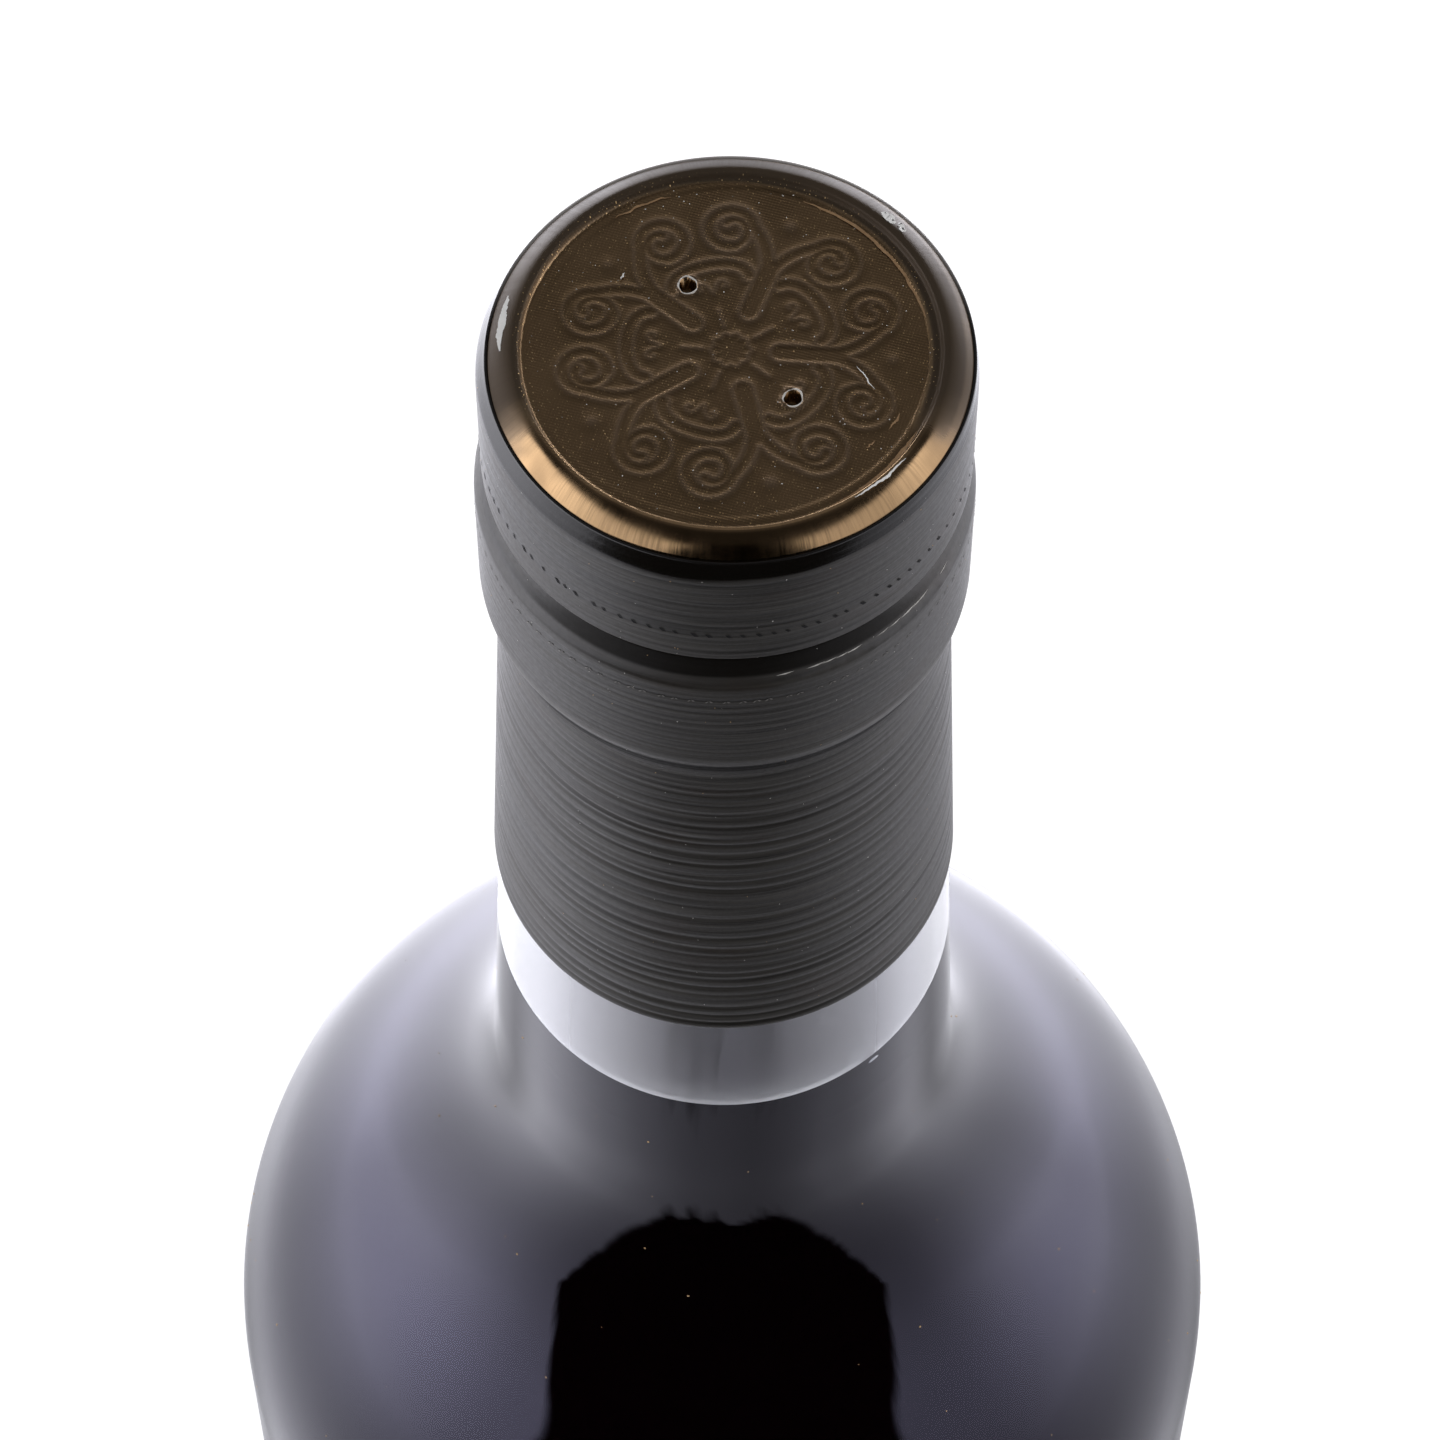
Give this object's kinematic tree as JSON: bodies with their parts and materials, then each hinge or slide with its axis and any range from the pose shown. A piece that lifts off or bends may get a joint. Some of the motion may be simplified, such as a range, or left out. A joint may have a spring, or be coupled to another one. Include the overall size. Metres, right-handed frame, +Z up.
{
  "type": "stoppered spirit bottle",
  "caption": "Round clear glass bottle full of a very dark drink, its stoppered mouth sealed by a long black shrink capsule with a bronze foil top.",
  "frame": {"origin": "centre of the base, on the surface the bottle stands on", "axes": "+Z up the bottle's axis towards the capsule; +Y away from the front"},
  "size_m": [0.076, 0.076, 0.3104],
  "materials": {
    "glass": "clear, polished",
    "drink": "very dark red-brown liquid",
    "stopper": "copper brown, glossy",
    "foil": "dark bronze lacquered foil, embossed",
    "sleeve": "satin charcoal black with fine rings"
  },
  "bodies": {
    "root": {"glass_bottle": "glass", "drink": "drink", "stopper_head": "stopper", "foil_disc": "foil", "capsule_sleeve": "sleeve"}
  },
  "joints": []
}
